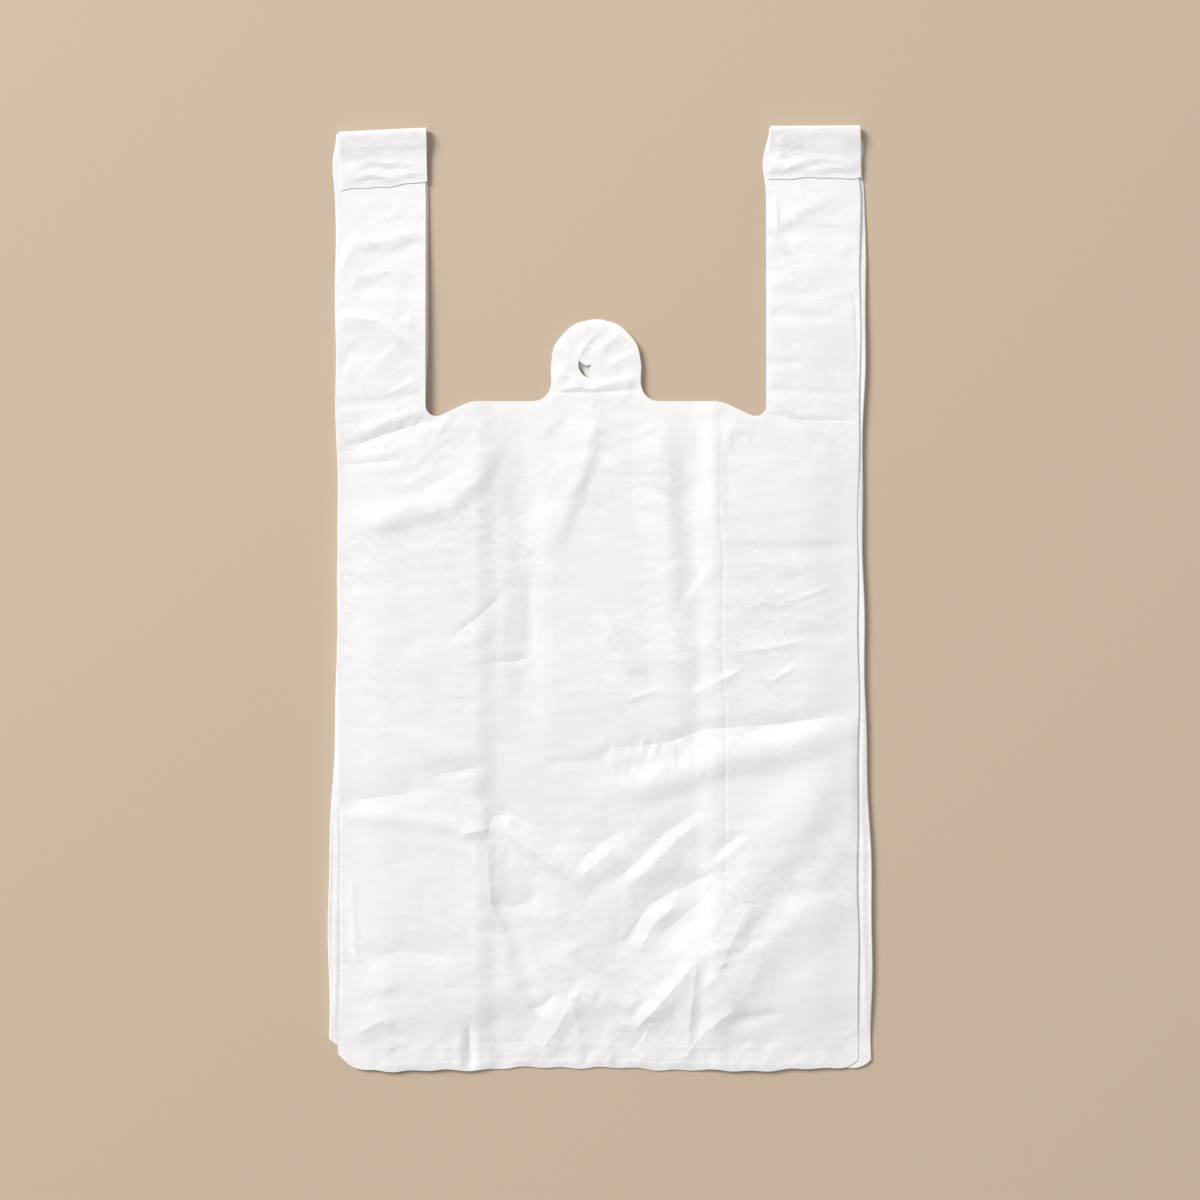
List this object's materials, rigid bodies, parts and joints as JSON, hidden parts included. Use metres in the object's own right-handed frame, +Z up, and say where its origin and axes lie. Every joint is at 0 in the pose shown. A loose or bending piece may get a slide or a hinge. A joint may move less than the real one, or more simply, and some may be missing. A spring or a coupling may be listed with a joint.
{
  "type": "plastic carrier bag",
  "caption": "Vest-type carrier bag of thin plastic film, lying flat: gusseted tube welded across the bottom, loop handles with turned-over ends, punched mouth with a hanging tab.",
  "frame": {"origin": "middle of the laid bag's base, on the surface it lies on", "axes": "+Y from the bottom weld to the handles, +X to the right when seen from above, +Z up through the plies"},
  "size_m": [0.2922, 0.5044, 0.008],
  "materials": {
    "film": "semi-gloss crinkled film"
  },
  "bodies": {
    "root": {"carrier_bag": "film"}
  },
  "joints": []
}
